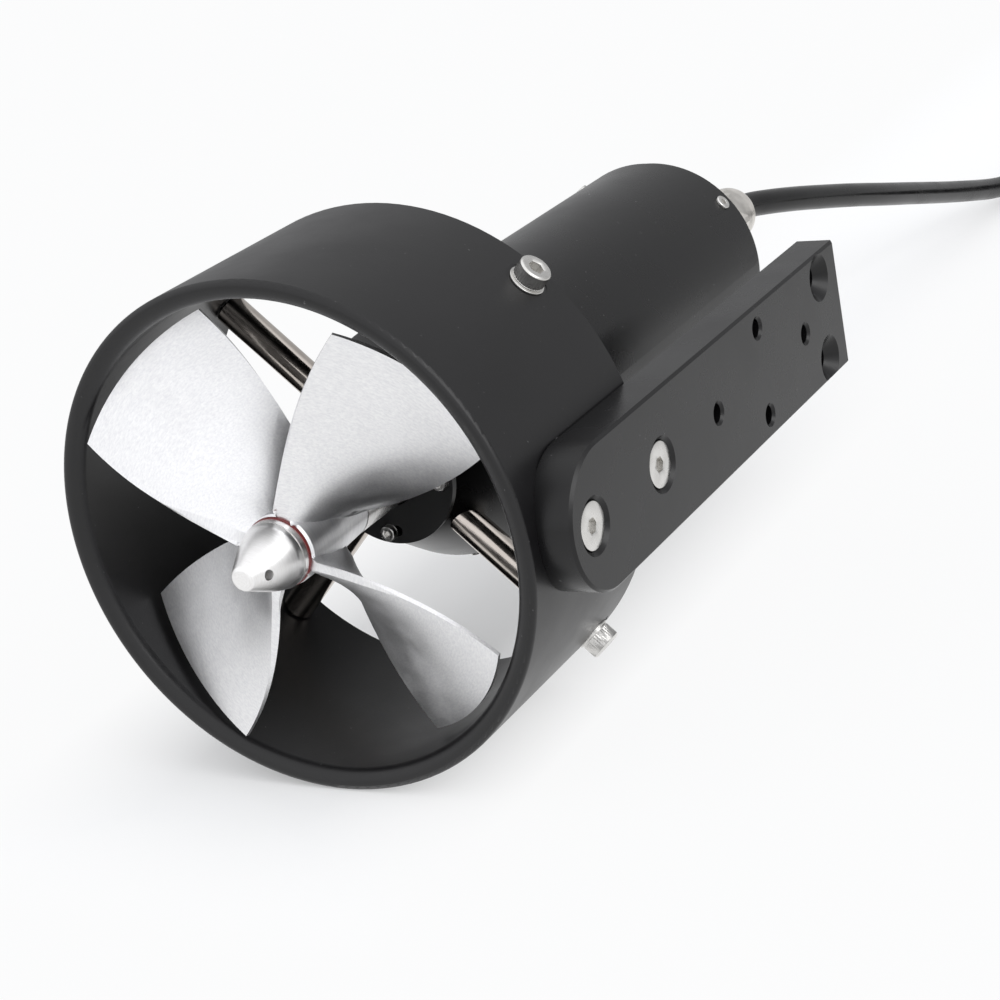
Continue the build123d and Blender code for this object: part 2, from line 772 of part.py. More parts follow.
def cable_tube(route, label):
    """Round cable along straight runs joined by arcs as large as the runs allow."""
    points = [Vector(*point) for point in route]
    radii = []
    for before, corner, after in zip(points, points[1:], points[2:]):
        run = min((corner - before).length, (after - corner).length)
        turn = radians((corner - before).get_angle(after - corner))
        radii.append(arc_share * run / tan(turn / 2))
    path = FilletPolyline(*points, radius=radii)
    section = Plane(origin=path @ 0, z_dir=path % 0) * Circle(cable_diameter / 2)
    solid = sweep(section, path=path)
    expected = pi * (cable_diameter / 2) ** 2 * path.length
    print(label, "radii", [round(r, 1) for r in radii], "length", round(path.length, 1),
          "volume share", round(solid.volume / expected, 4))
    return solid


def make_coil():
    """Outer shape of the neat coil that holds the rest of the cable."""
    across = coil_turns_across * cable_diameter
    height = coil_layers * cable_diameter
    middle = coil_middle_diameter / 2
    outline = RectangleRounded(across, height, arc_share * cable_diameter)
    section = Plane.XZ * (Pos(middle, height / 2) * outline)
    centre = from_gland([(*coil_centre, 0)])[0]
    return Pos(*centre) * revolve(section, Axis.Z)


def along_plug(distance):
    """Frame on the connector's own axis, some distance from the end of the cable."""
    start, end = from_gland(tail_route[-2:])
    return Plane(origin=end, z_dir=Vector(*end) - Vector(*start)) * Pos(0, 0, distance)


def make_plug_body():
    """Moulded connector with a tapered tail on the end of the cable."""
    radius = plug_diameter / 2
    profile = Polyline(
        (0, 0), (plug_tail_diameter / 2, 0), (radius - plug_shoulder, plug_tail_length),
        (radius, plug_tail_length + plug_shoulder), (radius, plug_face), (0, plug_face), close=True,
    )
    return along_plug(0) * Rot(90, 0, 0) * revolve(make_face(profile), Axis.Y)


def make_plug_ring():
    """Locking sleeve round the front of the connector."""
    upright = (Align.CENTER, Align.CENTER, Align.MIN)
    sleeve = Cylinder(plug_ring_diameter / 2, plug_ring_length, align=upright)
    sleeve = chamfer(sleeve.edges(), plug_ring_chamfer)
    sleeve -= Cylinder(plug_diameter / 2, plug_ring_length, align=upright)
    return along_plug(plug_face - plug_ring_length) * sleeve


def make_plug_pins():
    """Contact pins in the connector's face."""
    pin = Cylinder(plug_pin_diameter / 2, plug_pin_length, align=(Align.CENTER, Align.CENTER, Align.MIN))
    places = around(plug_pin_count, 0, plug_pin_circle / 2)
    return Compound([along_plug(plug_face) * Pos(x, y, 0) * pin for x, y in places])


# Seats and stations shared by several pieces
seat_radius = sqrt(duct_radius**2 - (spot_face_diameter / 2) ** 2)
arm_screw_stations = (arm_screw_first, arm_screw_first + arm_screw_pitch)
arm_screw_mouth = arm_screw_head + 2 * arm_screw_sink
cap_screw_seat = housing_radius - cap_screw_sink
front_screw_station = housing_front + cap_screw_inset
rear_screw_station = housing_rear - cap_screw_inset
front_oring_station = housing_front + spigot_length - oring_section
rear_oring_station = housing_rear - spigot_length + oring_section
magnet_seat = stator_bore / 2 - air_gap - magnet_thickness
core_seat_start = front_bearing_rear + shaft_step_gap
core_seat_end = stator_rear + 2 * shaft_step_gap
plug_face = plug_tail_length + plug_length
rear_bearing_front = rear_plate_front
rear_bearing_rear = rear_bearing_front + rear_bearing_width
wire_places = around(wire_count, 90, (winding_inner + winding_outer) / 2)
wire_gather_places = around(wire_count, 90, wire_gather_circle / 2)
neck_end = boss_end + gland_hex_length + gland_neck_length
gland_bore = gland_thread_diameter / 2 - gland_wall
grommet_radius = gland_neck_diameter / 2 - gland_wall
grommet_front = neck_end - gland_grommet_length
middle_x = (arm_outer - duct_radius) / 2
middle_y = (spinner_tip + gland_end) / 2
wire_bend_start = rear_plate_rear + wire_bend_gap
wire_bend_end = housing_rear - wire_bend_inset
wire_end = gland_end - cable_inside

front_outer, front_inner, front_balls = bearing(
    front_bearing_outer / 2, seal_step_radius, front_bearing_front, front_bearing_width)
rear_outer, rear_inner, rear_balls = bearing(
    rear_bearing_outer / 2, rear_seat_diameter / 2, rear_bearing_front, rear_bearing_width)

pieces = {
    "duct": make_duct(),
    "strut_screws": Compound([make_strut_screw(angle) for angle in strut_angles]),
    "strut_washers": Compound([make_strut_washer(angle) for angle in strut_angles]),
    "mounting_arm": make_arm(),
    "mounting_arm_screws": Compound([make_arm_screw(station) for station in arm_screw_stations]),
    "nose_cap": make_nose_cap(),
    "nose_cap_oring": make_oring(front_oring_station),
    "nose_cap_screws": make_cap_screws(front_screw_station, nose_screw_angle),
    "seal_plate": make_seal_plate(),
    "seal_plate_screws": make_plate_screws(),
    "shaft_seal": make_shaft_seal(),
    "front_bearing_outer_ring": front_outer,
    "front_bearing_inner_ring": front_inner,
    "front_bearing_balls": front_balls,
    "motor_housing": make_housing(),
    "stator_core": make_stator(),
    "stator_windings": make_windings(),
    "rear_bearing_plate": make_rear_plate(),
    "rear_bearing_outer_ring": rear_outer,
    "rear_bearing_inner_ring": rear_inner,
    "rear_bearing_balls": rear_balls,
    "lead_wires": make_lead_wires(),
    "rear_cap": make_rear_cap(),
    "rear_cap_oring": make_oring(rear_oring_station),
    "rear_cap_screws": make_cap_screws(rear_screw_station, rear_screw_angle),
    "gland_body": make_gland_body(),
    "gland_grommet": make_gland_grommet(),
    "gland_nut": make_gland_nut(),
    "motor_shaft": make_shaft(),
    "drive_pin": make_drive_pin(),
    "rotor_core": make_rotor_core(),
    "rotor_magnets": make_magnets(),
    "propeller": make_propeller(),
    "hub_ring": make_ring(),
    "spinner_nut": make_spinner(),
}
for name, angle in zip(strut_names, strut_angles):
    pieces["strut_" + name] = make_strut(angle)

# The bottom centre of the thruster, without its cable, becomes the origin
place = Pos(-middle_x, -middle_y, duct_radius)

os.makedirs("parts", exist_ok=True)
for name, shape in pieces.items():
    export_step(place * shape, f"parts/{name}.step")

mouth_route = [(0, -cable_inside, duct_radius), (0, 0, duct_radius)]
cord_pieces = {
    "cable": cable_tube(from_gland(mouth_route + cable_route), "cable"),
    "cable_coil": make_coil(),
    "cable_tail": cable_tube(from_gland(tail_route), "tail"),
    "plug_body": make_plug_body(),
    "plug_ring": make_plug_ring(),
    "plug_pins": make_plug_pins(),
}
for name, shape in cord_pieces.items():
    export_step(shape, f"parts/{name}.step")
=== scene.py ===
from math import atan2, cos, hypot, pi, radians, sin, sqrt, tan

import bmesh
import bpy
from mathutils import Matrix, Vector


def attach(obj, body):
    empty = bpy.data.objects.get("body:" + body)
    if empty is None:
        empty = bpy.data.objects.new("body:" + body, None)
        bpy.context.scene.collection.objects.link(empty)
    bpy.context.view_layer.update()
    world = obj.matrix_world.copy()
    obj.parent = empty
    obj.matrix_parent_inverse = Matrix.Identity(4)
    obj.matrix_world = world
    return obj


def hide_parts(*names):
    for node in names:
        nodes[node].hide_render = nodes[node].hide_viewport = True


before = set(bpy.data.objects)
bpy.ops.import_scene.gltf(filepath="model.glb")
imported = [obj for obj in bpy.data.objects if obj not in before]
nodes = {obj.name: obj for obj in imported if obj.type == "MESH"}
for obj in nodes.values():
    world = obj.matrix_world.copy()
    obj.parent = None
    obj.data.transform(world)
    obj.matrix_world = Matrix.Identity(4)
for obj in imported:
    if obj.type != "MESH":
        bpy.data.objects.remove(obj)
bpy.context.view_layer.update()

# The thruster's axis runs along Y at this place, and stations are measured from the duct's lip
AXIS_X = -0.00375
AXIS_Z = 0.055
LIP = -0.1105
MM = 0.001
MERGE = 0.002 * MM


# Camera
def set_camera():
    lens = bpy.data.cameras.new("camera")
    lens.lens = 83.905
    lens.sensor_width = 36
    place = Vector((0.263426, -0.453306, 0.213474))
    holder = bpy.data.objects.new("camera", lens)
    bpy.context.scene.collection.objects.link(holder)
    right = Vector((0.86526, 0.46654, -0.18347))
    up = Vector((-0.01401, 0.38834, 0.92141))
    back = Vector((0.50112, -0.79469, 0.34255))
    turn = Matrix((right, up, back)).transposed().to_4x4()
    holder.matrix_world = Matrix.Translation(place) @ turn
    bpy.context.scene.camera = holder


set_camera()


# Cable
CABLE = 7.0 * MM
cable_points = [
    (-0.00375, 0.1045, 0.055), (-0.00375, 0.1185, 0.055), (-0.0034, 0.1250, 0.0545),
    (-0.0015, 0.1345, 0.0526), (0.0010, 0.1497, 0.0490), (0.0031, 0.1666, 0.0445),
    (0.0051, 0.1847, 0.0396), (0.0065, 0.2037, 0.0341), (0.0068, 0.2276, 0.0274),
    (0.0070, 0.2536, 0.0200), (0.0076, 0.2800, 0.0128), (0.0086, 0.3015, 0.0072),
    (0.0106, 0.3200, 0.0042), (0.0158, 0.3400, 0.0036), (0.0240, 0.3540, 0.0036),
]
COIL_CENTRE = Vector((0.0605, 0.3275, 0))
COIL_ENTERS = 143.0
COIL_POINTS_EACH_TURN = 16
COIL_LAYER_TURNS, COIL_CLIMB_TURNS = 1.5, 0.35
COIL_OUTER, COIL_INNER = 40.0, 29.7
COIL_LOWER, COIL_UPPER = 4.4, 11.5
CONNECTOR_END = Vector((0.0993, 0.2962, 0.0092))
tail_points = [(0.1003, 0.3230, 0.0113), (0.1000, 0.3095, 0.0102), tuple(CONNECTOR_END)]


def coil_route():
    """Points of the coil: one and a half turns inwards, a climb, and as many turns outwards."""
    points = []
    steps = [
        (COIL_LAYER_TURNS, COIL_OUTER, COIL_INNER, COIL_LOWER, COIL_LOWER),
        (COIL_CLIMB_TURNS, COIL_INNER, COIL_INNER, COIL_LOWER, COIL_UPPER),
        (COIL_LAYER_TURNS, COIL_INNER, COIL_OUTER, COIL_UPPER, COIL_UPPER),
    ]
    gone_round = 0.0
    for turns, radius_from, radius_to, height_from, height_to in steps:
        count = round(turns * COIL_POINTS_EACH_TURN)
        for i in range(count):
            share = i / count
            angle = radians(COIL_ENTERS - 360 * (gone_round + turns * share))
            radius = (radius_from + (radius_to - radius_from) * share) * MM
            height = (height_from + (height_to - height_from) * share) * MM
            points.append(COIL_CENTRE + Vector((radius * cos(angle), radius * sin(angle), height)))
        gone_round += turns
    return points


def round_cable(name, points, radius):
    line = bpy.data.curves.new(name, "CURVE")
    line.dimensions = "3D"
    line.bevel_depth = 1.0
    line.bevel_resolution = 6
    line.use_fill_caps = True
    line.resolution_u = 10
    run = line.splines.new("NURBS")
    run.points.add(len(points) - 1)
    for point, place in zip(run.points, points):
        point.co = (*place, 1)
        point.radius = radius
    run.order_u = 3
    run.use_endpoint_u = True
    piece = bpy.data.objects.new(name, line)
    bpy.context.scene.collection.objects.link(piece)
    return piece


cable = round_cable("power_cable", cable_points + coil_route() + tail_points, CABLE / 2)
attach(cable, "housing")
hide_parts("cable", "cable_coil", "cable_tail")


# Finishes
def new_finish(name, colour, metallic, roughness):
    finish = bpy.data.materials.new(name)
    finish.use_nodes = True
    shader = finish.node_tree.nodes["Principled BSDF"]
    shader.inputs["Base Color"].default_value = (*colour, 1)
    shader.inputs["Metallic"].default_value = metallic
    shader.inputs["Roughness"].default_value = roughness
    return finish, shader


def add(finish, kind, **settings):
    node = finish.node_tree.nodes.new("ShaderNode" + kind)
    for name, value in settings.items():
        setattr(node, name, value)
    return node


def wire(finish, start, end):
    finish.node_tree.links.new(start, end)


def maths(finish, operation, *values):
    """The result of the given math operation on values, each a plain number or another node's output."""
    node = add(finish, "Math", operation=operation)
    for socket, value in zip(node.inputs, values):
        if isinstance(value, float):
            socket.default_value = value
        else:
            wire(finish, value, socket)
    return node.outputs[0]


def on_object(finish, centre=(0, 0, 0), stretch=(1, 1, 1)):
    """Object coordinates measured from a centre, then stretched."""
    place = add(finish, "TexCoord").outputs["Object"]
    shift = add(finish, "Mapping")
    shift.inputs["Location"].default_value = [-c for c in centre]
    wire(finish, place, shift.inputs["Vector"])
    scale = add(finish, "Mapping")
    scale.inputs["Scale"].default_value = stretch
    wire(finish, shift.outputs["Vector"], scale.inputs["Vector"])
    return scale.outputs["Vector"]


def round_axis(finish, out, along, around):
    """Distance from the thruster's axis, station and direction, each times its own number."""
    place = on_object(finish, (AXIS_X, LIP, AXIS_Z))
    parts = add(finish, "SeparateXYZ")
    wire(finish, place, parts.inputs[0])
    flat = add(finish, "CombineXYZ")
    wire(finish, parts.outputs["X"], flat.inputs["X"])
    wire(finish, parts.outputs["Z"], flat.inputs["Z"])
    length = add(finish, "VectorMath", operation="LENGTH")
    wire(finish, flat.outputs[0], length.inputs[0])
    direction = maths(finish, "ARCTAN2", parts.outputs["Z"], parts.outputs["X"])
    joined = add(finish, "CombineXYZ")
    for source, factor, target in (
        (length.outputs["Value"], out, "X"), (parts.outputs["Y"], along, "Y"), (direction, around, "Z"),
    ):
        wire(finish, maths(finish, "MULTIPLY", source, factor), joined.inputs[target])
    return joined.outputs[0]


def mottle(finish, place, scale, detail=4, roughness=0.55):
    cloud = add(finish, "TexNoise")
    cloud.inputs["Scale"].default_value = scale
    cloud.inputs["Detail"].default_value = detail
    cloud.inputs["Roughness"].default_value = roughness
    wire(finish, place, cloud.inputs["Vector"])
    return cloud.outputs["Fac"]


def spread(finish, value, low, high, start=0.3, end=0.7):
    """A pattern's value brought into a range of its own."""
    limits = add(finish, "MapRange")
    for name, number in (("From Min", start), ("From Max", end), ("To Min", low), ("To Max", high)):
        limits.inputs[name].default_value = number
    wire(finish, value, limits.inputs["Value"])
    return limits.outputs["Result"]


def two_colours(finish, share, first, second):
    mix = add(finish, "Mix", data_type="RGBA")
    sockets = [s for s in mix.inputs if s.type == "RGBA"]
    for socket, colour in zip(sockets, (first, second)):
        if isinstance(colour, tuple):
            socket.default_value = (*colour, 1)
        else:
            wire(finish, colour, socket)
    wire(finish, share, mix.inputs[0])
    return [s for s in mix.outputs if s.type == "RGBA"][0]


def patches(finish, shader, cloud, first, second, smoother, rougher):
    """Cloudy patches that change the colour and the roughness together."""
    wire(finish, two_colours(finish, spread(finish, cloud, 0, 1), first, second), shader.inputs["Base Color"])
    wire(finish, spread(finish, cloud, smoother, rougher), shader.inputs["Roughness"])


def relief(finish, shader, height, depth, strength):
    bump = add(finish, "Bump")
    bump.inputs["Distance"].default_value = depth
    bump.inputs["Strength"].default_value = strength
    wire(finish, height, bump.inputs["Height"])
    wire(finish, bump.outputs["Normal"], shader.inputs["Normal"])


def black_anodise(name, colour, worn, roughness, shine):
    """Bead-blasted and anodised aluminium: a fine grain, faint cloudiness and a few specks."""
    finish, shader = new_finish(name, colour, 0.0, roughness)
    shader.inputs["Specular IOR Level"].default_value = shine
    place = on_object(finish)
    cloud = mottle(finish, place, scale=55)
    tone = two_colours(finish, spread(finish, cloud, 0, 1), colour, worn)
    speck = spread(finish, mottle(finish, place, scale=900, detail=2), 0, 1, start=0.74, end=0.78)
    dust = (0.09, 0.088, 0.09)
    wire(finish, two_colours(finish, speck, tone, dust), shader.inputs["Base Color"])
    wire(finish, spread(finish, cloud, roughness - 0.04, roughness + 0.05), shader.inputs["Roughness"])
    relief(finish, shader, mottle(finish, place, scale=2600, detail=3), depth=0.00003, strength=0.5)
    return finish


def brushed_round(name, colour, darker, roughness, depth, rings=2600.0):
    """Metal brushed or turned in rings round the thruster's axis."""
    finish, shader = new_finish(name, colour, 1.0, roughness)
    place = round_axis(finish, out=rings, along=rings, around=1.5)
    line = mottle(finish, place, scale=1, detail=3, roughness=0.7)
    cloud = mottle(finish, on_object(finish), scale=120)
    tone = two_colours(finish, spread(finish, line, 0, 1), darker, colour)
    wire(finish, tone, shader.inputs["Base Color"])
    wire(finish, spread(finish, cloud, roughness - 0.05, roughness + 0.07), shader.inputs["Roughness"])
    relief(finish, shader, line, depth, strength=0.6)
    return finish


def plain_metal(name, colour, darker, roughness, grain=1500):
    """Bright metal with a light random grain and handling marks."""
    finish, shader = new_finish(name, colour, 1.0, roughness)
    place = on_object(finish)
    cloud = mottle(finish, place, scale=260)
    patches(finish, shader, cloud, darker, colour, roughness - 0.06, roughness + 0.08)
    relief(finish, shader, mottle(finish, place, grain, detail=2), depth=0.00001, strength=0.35)
    return finish


def rubber(name, colour, worn, roughness, grain=3000, shine=0.5):
    """Rubber or plastic with a fine skin and dull patches."""
    finish, shader = new_finish(name, colour, 0.0, roughness)
    shader.inputs["Specular IOR Level"].default_value = shine
    place = on_object(finish)
    cloud = mottle(finish, place, scale=90)
    patches(finish, shader, cloud, colour, worn, roughness - 0.06, roughness + 0.08)
    relief(finish, shader, mottle(finish, place, grain, detail=2), depth=0.00002, strength=0.4)
    return finish


finishes = {
    "duct": black_anodise("duct anodise", (0.0033, 0.0031, 0.0036), (0.0052, 0.0049, 0.0056), 0.36, 0.45),
    "motor": black_anodise("motor anodise", (0.0030, 0.0029, 0.0032), (0.0045, 0.0043, 0.0048), 0.28, 0.38),
    "arm": black_anodise("arm anodise", (0.0034, 0.0033, 0.0037), (0.0052, 0.0050, 0.0055), 0.27, 0.37),
    "propeller": brushed_round("propeller aluminium", (0.93, 0.93, 0.93), (0.78, 0.78, 0.80), 0.40, 0.00004),
    "spinner": brushed_round("spinner steel", (0.97, 0.965, 0.96), (0.84, 0.83, 0.82), 0.36, 0.00001, 5000.0),
    "strut": plain_metal("polished strut", (0.62, 0.57, 0.52), (0.52, 0.47, 0.43), 0.16),
    "screw": plain_metal("screw steel", (0.78, 0.77, 0.75), (0.62, 0.61, 0.59), 0.26),
    "plate": brushed_round("plate aluminium", (0.60, 0.60, 0.61), (0.50, 0.50, 0.52), 0.40, 0.00001),
    "gland": plain_metal("gland nickel", (0.94, 0.91, 0.86), (0.82, 0.79, 0.74), 0.34),
    "shaft": brushed_round("shaft steel", (0.72, 0.71, 0.70), (0.60, 0.59, 0.58), 0.25, 0.00001),
    "lamination": brushed_round("lamination steel", (0.32, 0.32, 0.33), (0.22, 0.22, 0.23), 0.45, 0.00003),
    "magnet": plain_metal("magnet nickel", (0.62, 0.60, 0.56), (0.52, 0.50, 0.47), 0.30),
    "copper": plain_metal("copper winding", (0.72, 0.33, 0.15), (0.50, 0.20, 0.09), 0.35, 900),
    "brass": plain_metal("pin brass", (0.80, 0.62, 0.28), (0.66, 0.50, 0.22), 0.28),
    "bearing": plain_metal("bearing steel", (0.66, 0.65, 0.64), (0.56, 0.55, 0.54), 0.18),
    "black_plate": rubber("black seal plate", (0.009, 0.009, 0.0095), (0.013, 0.013, 0.0135), 0.42),
    "rubber": rubber("seal rubber", (0.012, 0.012, 0.012), (0.02, 0.02, 0.02), 0.6),
    "cable": rubber("cable rubber", (0.004, 0.004, 0.0042), (0.008, 0.008, 0.0083), 0.24, 1800, 0.28),
    "plug": rubber("plug rubber", (0.015, 0.015, 0.016), (0.024, 0.024, 0.025), 0.48),
    "wire": rubber("wire plastic", (0.45, 0.03, 0.02), (0.36, 0.025, 0.018), 0.4),
    "red": rubber("red ring", (0.16, 0.012, 0.012), (0.11, 0.009, 0.009), 0.4),
}

finish_of_node = {
    "duct": ["duct"],
    "motor": ["motor_housing", "rear_cap", "nose_cap"],
    "arm": ["mounting_arm"],
    "propeller": ["propeller"],
    "spinner": ["spinner_nut"],
    "strut": ["strut_upper_right", "strut_upper_left", "strut_lower_left", "strut_lower_right"],
    "screw": ["strut_screws", "strut_washers", "mounting_arm_screws", "nose_cap_screws",
              "rear_cap_screws", "seal_plate_screws", "drive_pin"],
    "plate": ["rear_bearing_plate"],
    "gland": ["gland_body", "gland_nut"],
    "shaft": ["motor_shaft"],
    "lamination": ["stator_core", "rotor_core"],
    "magnet": ["rotor_magnets"],
    "copper": ["stator_windings"],
    "brass": ["plug_pins"],
    "bearing": ["front_bearing_outer_ring", "front_bearing_inner_ring", "front_bearing_balls",
                "rear_bearing_outer_ring", "rear_bearing_inner_ring", "rear_bearing_balls"],
    "black_plate": ["seal_plate"],
    "rubber": ["shaft_seal", "nose_cap_oring", "rear_cap_oring", "gland_grommet"],
    "cable": ["cable", "cable_coil", "cable_tail"],
    "plug": ["plug_body", "plug_ring"],
    "wire": ["lead_wires"],
    "red": ["hub_ring"],
}
for finish, names in finish_of_node.items():
    for name in names:
        nodes[name].material_slots[0].material = finishes[finish]
cable.data.materials.append(finishes["cable"])


# Pieces with more detail than their solids
def finished(name, bm, finish, body, *stands_for, crease=32):
    """The finished mesh as a piece that rides on its body in place of the solids it stands for."""
    bmesh.ops.remove_doubles(bm, verts=bm.verts, dist=MERGE)
    bmesh.ops.recalc_face_normals(bm, faces=bm.faces)
    for face in bm.faces:
        face.smooth = True
    mesh = bpy.data.meshes.new(name)
    bm.to_mesh(mesh)
    bm.free()
    mesh.materials.append(finishes[finish])
    if crease:
        mesh.set_sharp_from_angle(angle=radians(crease))
    piece = bpy.data.objects.new(name, mesh)
    bpy.context.scene.collection.objects.link(piece)
    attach(piece, body)
    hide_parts(*stands_for)
    return piece


def turned(profile, steps=72):
    """A profile of (radius, height) pairs in millimetres, spun round the Z axis."""
    bm = bmesh.new()
    line = [bm.verts.new((radius * MM, 0, height * MM)) for radius, height in profile]
    edges = [bm.edges.new(pair) for pair in zip(line, line[1:])]
    bmesh.ops.spin(
        bm, geom=line + edges, cent=(0, 0, 0), axis=(0, 0, 1), angle=2 * pi, steps=steps, use_merge=True,
    )
    bmesh.ops.remove_doubles(bm, verts=bm.verts, dist=MERGE)
    return bm


def step_round(vert, steps):
    """Which of the equal steps round the Z axis a point lies on."""
    return round(atan2(vert.co.y, vert.co.x) / (2 * pi) * steps)


def knurl(bm, low, high, radius, depth, steps=72):
    """Every other point of a side between two heights is drawn in, which leaves fine ribs."""
    for vert in bm.verts:
        out = vert.co.xy.length
        on_side = low * MM < vert.co.z < high * MM and out > 0.95 * radius * MM
        if on_side and step_round(vert, steps) % 2:
            vert.co.xy *= 1 - depth * MM / out


def hexagon_socket(bm, half):
    """The round recess of a screw head becomes a hexagon of this half width."""
    for vert in bm.verts:
        out = vert.co.xy.length
        if 0.01 * MM < out < 1.15 * half * MM:
            part = (atan2(vert.co.y, vert.co.x) % (pi / 3)) - pi / 6
            vert.co.xy *= half * MM / cos(part) / out


def cap_head(radius, height, key, ribs=0):
    """A cap screw's head on Z = 0: straight side, rounded rim, hexagon socket, and ribs if it has any."""
    half = key / 2
    rim = 0.16 * radius
    bm = turned([
        (0, 0), (radius, 0), (radius, 0.1 * height), (radius, 0.12 * height), (radius, height - rim),
        (radius - 0.08 * rim, height - 0.62 * rim), (radius - 0.3 * rim, height - 0.3 * rim),
        (radius - 0.62 * rim, height - 0.08 * rim), (radius - rim, height), (1.34 * half, height),
        (1.1 * half, height - 0.12 * half), (1.1 * half, 0.42 * height), (0, 0.36 * height),
    ])
    hexagon_socket(bm, half)
    if ribs:
        knurl(bm, 0.11 * height, height - 0.9 * rim, radius, ribs)
    return bm


def countersunk_head(radius, height, key, foot):
    """A countersunk screw's head on Z = 0: cone, thin rounded rim and hexagon socket."""
    half = key / 2
    bm = turned([
        (0, 0), (foot, 0), (radius, height - 0.25), (radius, height - 0.12),
        (radius - 0.04, height - 0.04), (radius - 0.12, height), (1.34 * half, height),
        (1.1 * half, height - 0.12 * half), (1.1 * half, 0.3 * height), (0, 0.24 * height),
    ])
    hexagon_socket(bm, half)
    return bm


def beside_axis(angle, station, out):
    """The place at this distance from the thruster's axis."""
    a = radians(angle)
    return Vector((AXIS_X + out * MM * cos(a), LIP + station * MM, AXIS_Z + out * MM * sin(a)))


def outwards(angle, station, out):
    """Frame whose Z axis points straight out from the thruster's axis."""
    a = radians(angle)
    turn = Matrix(((0, 1, 0), (-sin(a), 0, cos(a)), (cos(a), 0, sin(a)))).transposed().to_4x4()
    return Matrix.Translation(beside_axis(angle, station, out)) @ turn


def forwards(angle, station, out):
    """Frame whose Z axis points to the front."""
    turn = Matrix(((1, 0, 0), (0, 0, 1), (0, -1, 0))).transposed().to_4x4()
    return Matrix.Translation(beside_axis(angle, station, out)) @ turn


def gathered(makes, places):
    """The same small shape at several places, in one mesh."""
    whole = bmesh.new()
    for place in places:
        one = makes()
        bmesh.ops.transform(one, matrix=place, verts=one.verts)
        carrier = bpy.data.meshes.new("carrier")
        one.to_mesh(carrier)
        one.free()
        whole.from_mesh(carrier)
        bpy.data.meshes.remove(carrier)
    return whole


STRUTS = {"upper_right": 45, "upper_left": 135, "lower_left": 225, "lower_right": 315}
STRUT_STATION = 45
STRUT_FOOT = 14.5
ARM_FACE = 62.5


def add_struts():
    """Four polished round struts, a little stouter than their solids."""
    bar = [(0, 0), (3.2, 0), (3.5, 0.3), (3.5, 35.6), (3.2, 35.9), (0, 35.9)]
    for name, angle in STRUTS.items():
        shape = gathered(lambda: turned(bar), [outwards(angle, STRUT_STATION, STRUT_FOOT)])
        finished("polished_strut_" + name, shape, "strut", "housing", "strut_" + name)


def add_screws(name, node, head, places):
    finished(name, gathered(head, places), "screw", "housing", node)


def add_fasteners():
    add_screws(
        "strut_cap_screws", "strut_screws", lambda: cap_head(3.5, 3.7, key=3.0, ribs=0.13),
        [outwards(angle, STRUT_STATION, 55.3) for angle in STRUTS.values()],
    )
    washer = [(2.1, 0), (3.8, 0), (3.9, 0.1), (3.9, 0.4), (3.8, 0.5), (2.2, 0.5), (2.1, 0.4), (2.1, 0)]
    add_screws(
        "strut_flat_washers", "strut_washers", lambda: turned(washer),
        [outwards(angle, STRUT_STATION, 54.8) for angle in STRUTS.values()],
    )
    height, sink = 2.3, 0.55
    add_screws(
        "arm_countersunk_screws", "mounting_arm_screws",
        lambda: countersunk_head(4.8, height, key=3.0, foot=2.5),
        [outwards(0, station, ARM_FACE - sink - height) for station in (13.2, 44.0)],
    )
    add_screws(
        "plate_cap_screws", "seal_plate_screws", lambda: cap_head(1.8, 1.6, key=1.5, ribs=0.08),
        [forwards(90 * i - 7.4, 38.4, 13.7) for i in range(4)],
    )
    for name, node, station, turn in (
        ("nose_low_screws", "nose_cap_screws", 60.4, 10.0),
        ("rear_low_screws", "rear_cap_screws", 175.6, 37.7),
    ):
        places = [outwards(turn + 90 * i, station, 27.1) for i in range(4)]
        add_screws(name, node, lambda: cap_head(1.9, 1.3, key=1.5), places)


def reshaped(name, node, change, finish, body, crease=32):
    """A copy of a solid whose points take a new distance from the axis and a new station.

    Without a crease angle, the creases lie where two faces of the solid meet.
    """
    source = nodes[node]
    bm = bmesh.new()
    bm.from_mesh(source.data)
    bmesh.ops.transform(bm, matrix=source.matrix_world, verts=bm.verts)
    for edge in bm.edges:
        edge.smooth = crease > 0 or not edge.is_boundary
    for vert in bm.verts:
        side, up = vert.co.x - AXIS_X, vert.co.z - AXIS_Z
        turn = atan2(up, side)
        out, station = change(hypot(side, up) / MM, (vert.co.y - LIP) / MM, turn)
        vert.co = (AXIS_X + out * MM * cos(turn), LIP + station * MM, AXIS_Z + out * MM * sin(turn))
    return finished(name, bm, finish, body, node, crease=crease)


def spinner_shape(out, station, turn):
    """The spinner swells in the middle and ends in a slimmer, shorter tip."""
    shoulder, length, shorter = -5, 14, 0.8
    share = min(1, max(0, (shoulder - station) / length))
    if station <= shoulder:
        station = shoulder + (station - shoulder) * shorter
    return out * (1 - 0.06 * share + 0.09 * sin(pi * share)), station


def gland_shape(out, station, turn):
    """The gland nut's dome is slimmer and shorter."""
    foot, mouth, slimmer, shorter = 210.7, 5, 0.9, 0.727
    return out * slimmer if out > mouth else out, foot + (station - foot) * shorter


BLADE_ANGLE = 42.5
BLADE_MIDDLE = 6.5
BLADE_PITCH = 105
BLADE_LENGTH = 40.7
BLADE_ROOT_SPAN, BLADE_NARROWING = 32, 12
BLADE_TIP, BLADE_ROOT_MORE = 1.3, 3.1
BLADE_EDGE = 0.4
BLADE_FLARE = 0.8
HUB = 8.2
HUB_SLIMMER = 0.93
HUB_CORE = 6


